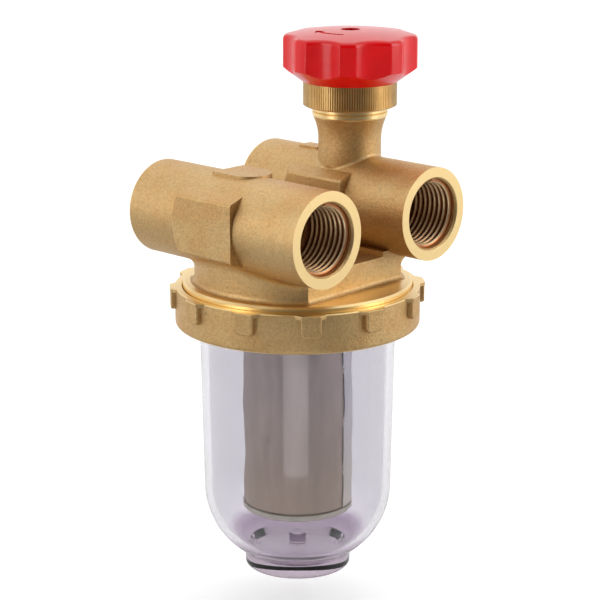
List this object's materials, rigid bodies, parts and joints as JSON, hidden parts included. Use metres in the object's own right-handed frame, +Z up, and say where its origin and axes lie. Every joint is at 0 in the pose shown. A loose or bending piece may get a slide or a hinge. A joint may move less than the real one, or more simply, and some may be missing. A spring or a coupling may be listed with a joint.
{
  "type": "two-line oil filter",
  "caption": "Brass two-line filter head with threaded ports, shut-off handwheel, union nut, clear bowl and mesh insert.",
  "frame": {"origin": "centre of the bowl foot's flat underside, on the bowl's axis", "axes": "+Z up through the bowl to the handwheel, +X along both pipes towards the supply outlet and the return inlet, +Y towards the pipe with the valve"},
  "size_m": [0.0764, 0.0814, 0.1636],
  "materials": {
    "cast_brass": "shot-blasted casting",
    "forged_brass": "blasted, turned on top",
    "turned_brass": "turned",
    "clear_plastic": "clear, faint lilac tint",
    "ivory_plastic": "moulded",
    "steel_mesh": "fine woven wire",
    "steel_strip": "rolled strip",
    "seal_rubber": "smooth",
    "spring_steel": "drawn wire",
    "screw_steel": "zinc plated",
    "ball_steel": "ground ball",
    "red_plastic": "glossy moulding"
  },
  "bodies": {
    "head": {"filter_head": "cast_brass", "bonnet_bush": "turned_brass", "stem_o_rings": "seal_rubber", "bonnet_o_ring": "seal_rubber", "check_spring": "spring_steel", "check_retainer": "ivory_plastic"},
    "insert": {"insert_top_cap": "ivory_plastic", "insert_o_ring": "seal_rubber", "insert_bottom_cap": "ivory_plastic", "insert_cage": "ivory_plastic", "insert_mesh": "steel_mesh", "mesh_seam": "steel_strip"},
    "valve_disc": {"valve_disc_holder": "turned_brass", "valve_washer": "seal_rubber", "valve_washer_screw": "turned_brass", "disc_snap_ring": "spring_steel"},
    "wheel": {"handwheel": "red_plastic", "handwheel_screw": "screw_steel", "handwheel_washer": "screw_steel", "knurled_cap": "turned_brass", "stem": "turned_brass"},
    "bowl": {"bowl": "clear_plastic", "bowl_o_ring": "seal_rubber"},
    "nut": {"union_nut": "forged_brass"},
    "ball": {"check_ball": "ball_steel"}
  },
  "joints": [
    {"name": "disc_lift", "type": "slide", "parent": "head", "child": "valve_disc", "axis": [0, 0, 1], "range_m": [0, 0.00375]},
    {"name": "handwheel_turn", "type": "hinge", "parent": "valve_disc", "child": "wheel", "pos_m": [0, 0.023, 0.15], "axis": [0, 0, 1], "range_deg": [0, 900]},
    {"name": "bowl_drop", "type": "slide", "parent": "head", "child": "bowl", "axis": [0, 0, -1], "range_m": [0, 0.006]},
    {"name": "nut_turn", "type": "hinge", "parent": "bowl", "child": "nut", "pos_m": [0, 0, 0.084], "axis": [0, 0, -1], "range_deg": [0, 1080]},
    {"name": "insert_pull", "type": "slide", "parent": "head", "child": "insert", "axis": [0, 0, -1], "range_m": [0, 0.006]},
    {"name": "ball_slide", "type": "slide", "parent": "head", "child": "ball", "axis": [-1, 0, 0], "range_m": [0, 0.0025], "stiffness_N_per_m": 100, "springref_m": -0.0015, "deforming": ["check_spring"]}
  ],
  "couplings": [
    {"joint": "disc_lift", "follows": "handwheel_turn", "m_per_rad": 0.00023873},
    {"joint": "bowl_drop", "follows": "nut_turn", "m_per_rad": 0.00031831}
  ]
}
